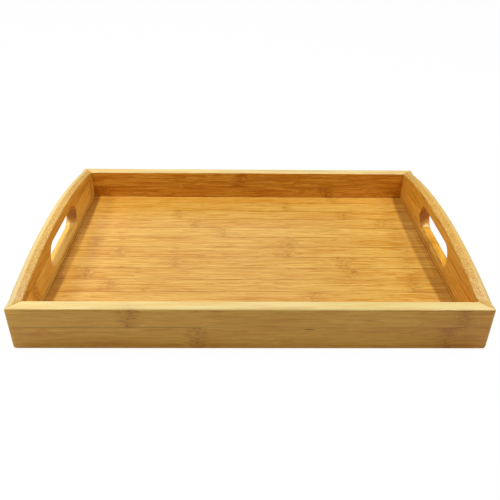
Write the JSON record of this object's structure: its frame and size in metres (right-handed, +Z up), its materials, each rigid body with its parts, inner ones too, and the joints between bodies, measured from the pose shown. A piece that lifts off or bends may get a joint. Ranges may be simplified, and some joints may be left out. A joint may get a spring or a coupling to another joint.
{
  "type": "serving tray",
  "caption": "Rectangular bamboo serving tray with mitred sides, arched end panels with racetrack hand holes and an inset strip floor.",
  "frame": {"origin": "centre of the tray's footprint, on the surface that it stands on", "axes": "+X along the long side towards the right hand hole, +Y from the front rail to the back rail, +Z up out of the tray"},
  "size_m": [0.4, 0.28, 0.0555],
  "materials": {
    "rail_bamboo": "satin clear lacquer on bamboo strip",
    "end_panel_bamboo": "satin clear lacquer on bamboo strip",
    "floor_bamboo": "satin clear lacquer on flat-laid bamboo strip",
    "ply_bamboo": "plain bamboo ply",
    "spline_bamboo": "plain bamboo"
  },
  "bodies": {
    "root": {"front_rail_lower_strip": "rail_bamboo", "front_rail_upper_strip": "rail_bamboo", "back_rail_lower_strip": "rail_bamboo", "back_rail_upper_strip": "rail_bamboo", "left_end_lower_strip": "end_panel_bamboo", "left_end_middle_strip": "end_panel_bamboo", "left_end_crown_strip": "end_panel_bamboo", "right_end_lower_strip": "end_panel_bamboo", "right_end_middle_strip": "end_panel_bamboo", "right_end_crown_strip": "end_panel_bamboo", "floor_face_strip_01": "floor_bamboo", "floor_face_strip_02": "floor_bamboo", "floor_face_strip_03": "floor_bamboo", "floor_face_strip_04": "floor_bamboo", "floor_face_strip_05": "floor_bamboo", "floor_face_strip_06": "floor_bamboo", "floor_face_strip_07": "floor_bamboo", "floor_face_strip_08": "floor_bamboo", "floor_face_strip_09": "floor_bamboo", "floor_face_strip_10": "floor_bamboo", "floor_face_strip_11": "floor_bamboo", "floor_face_strip_12": "floor_bamboo", "floor_face_strip_13": "floor_bamboo", "floor_core_ply": "ply_bamboo", "floor_backing_ply": "ply_bamboo", "corner_spline_front_left": "spline_bamboo", "corner_spline_front_right": "spline_bamboo", "corner_spline_back_left": "spline_bamboo", "corner_spline_back_right": "spline_bamboo"}
  },
  "joints": []
}
